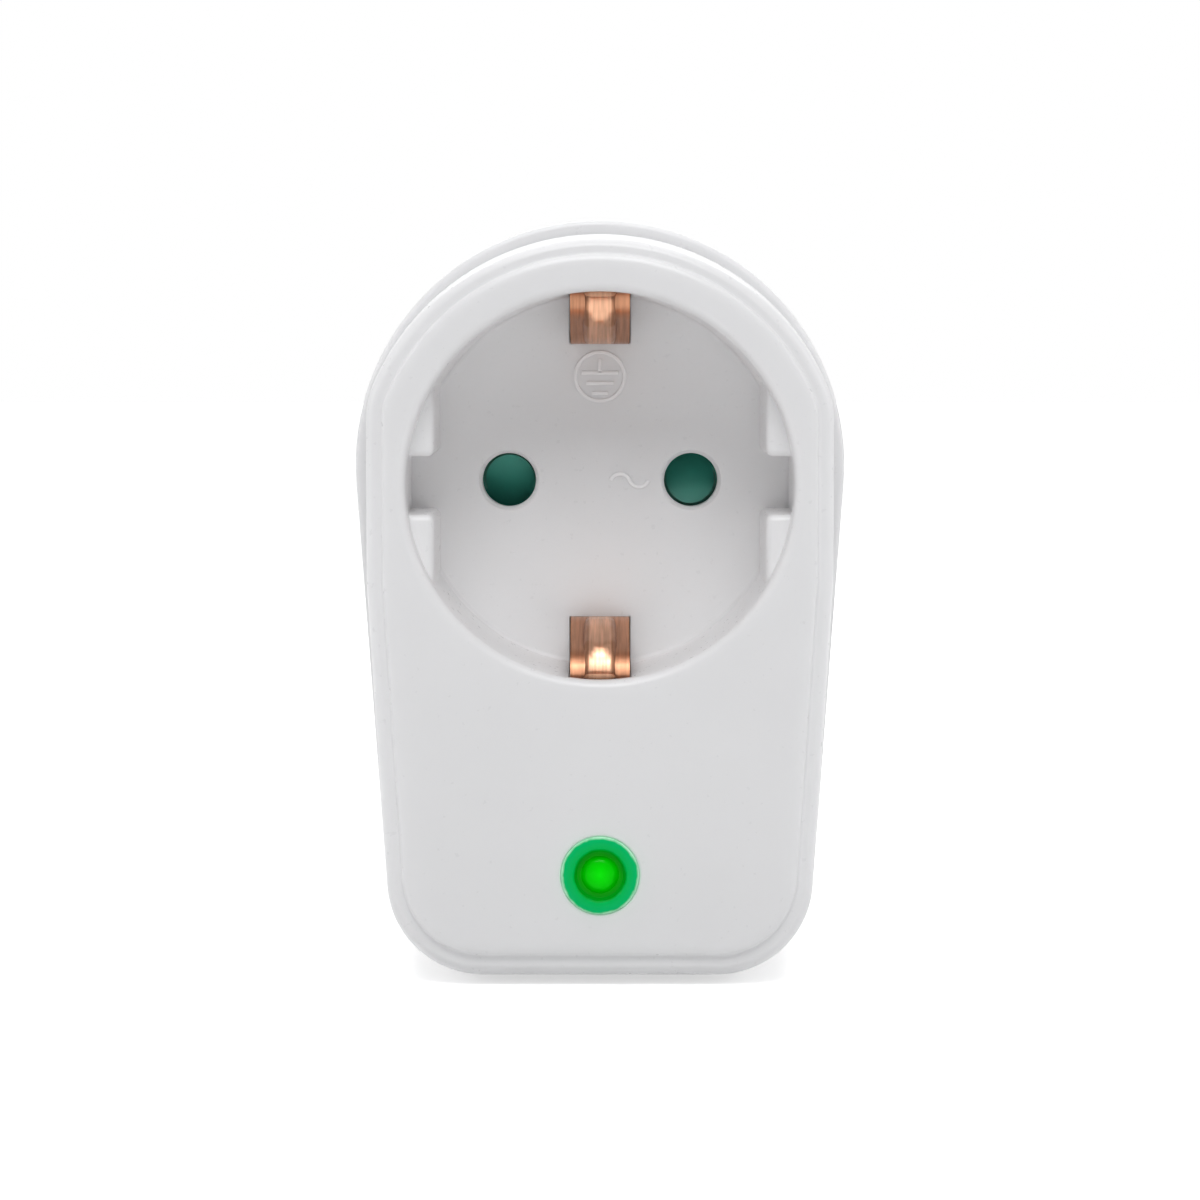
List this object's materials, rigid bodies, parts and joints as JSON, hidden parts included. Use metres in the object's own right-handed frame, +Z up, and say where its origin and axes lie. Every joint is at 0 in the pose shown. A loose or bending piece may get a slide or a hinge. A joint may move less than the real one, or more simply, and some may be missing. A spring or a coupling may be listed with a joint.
{
  "type": "surge protection adapter",
  "caption": "Plug-in adapter with one earthed socket, shutter, varistor surge board, green lamp and a two-pin plug with side earth strips.",
  "frame": {"origin": "on the common axis of socket and plug, in the plane of the housing that meets the wall plate", "axes": "+X right as seen from the front, +Y from the front face towards the wall, +Z up"},
  "size_m": [0.0508, 0.0747, 0.0775],
  "materials": {
    "shell": "semi-gloss",
    "lens": "gloss",
    "lamp": "gloss",
    "shutter": "matt",
    "carrier": "matt",
    "contact": "polished",
    "pin": "polished",
    "steel": "satin",
    "board": "satin",
    "varistor": "satin",
    "resistor": "satin",
    "diode": "satin",
    "line_insulation": "satin",
    "neutral_insulation": "satin",
    "earth_insulation": "satin"
  },
  "bodies": {
    "housing": {"front_housing": "shell", "rear_housing": "shell", "indicator_lens": "lens", "led": "lamp", "led_resistor": "resistor", "led_diode": "diode", "contact_carrier": "carrier", "shutter_spring": "steel", "line_contact": "contact", "neutral_contact": "contact", "line_pin": "pin", "neutral_pin": "pin", "upper_earth_contact": "contact", "lower_earth_contact": "contact", "earth_bridge": "contact", "surge_board": "board", "varistor_line_neutral": "varistor", "varistor_line_earth": "varistor", "varistor_neutral_earth": "varistor", "thermal_fuse": "steel", "line_wire": "line_insulation", "neutral_wire": "neutral_insulation", "earth_wire": "earth_insulation", "housing_screws": "steel"},
    "shutter": {"shutter": "shutter"}
  },
  "joints": [
    {"name": "shutter_turn", "type": "hinge", "parent": "housing", "child": "shutter", "pos_m": [0, -0.016, 0], "axis": [0, 1, 0], "range_deg": [0, 40], "stiffness_Nm_per_rad": 0.002, "springref_deg": -11.46, "deforming": ["shutter_spring"]}
  ]
}
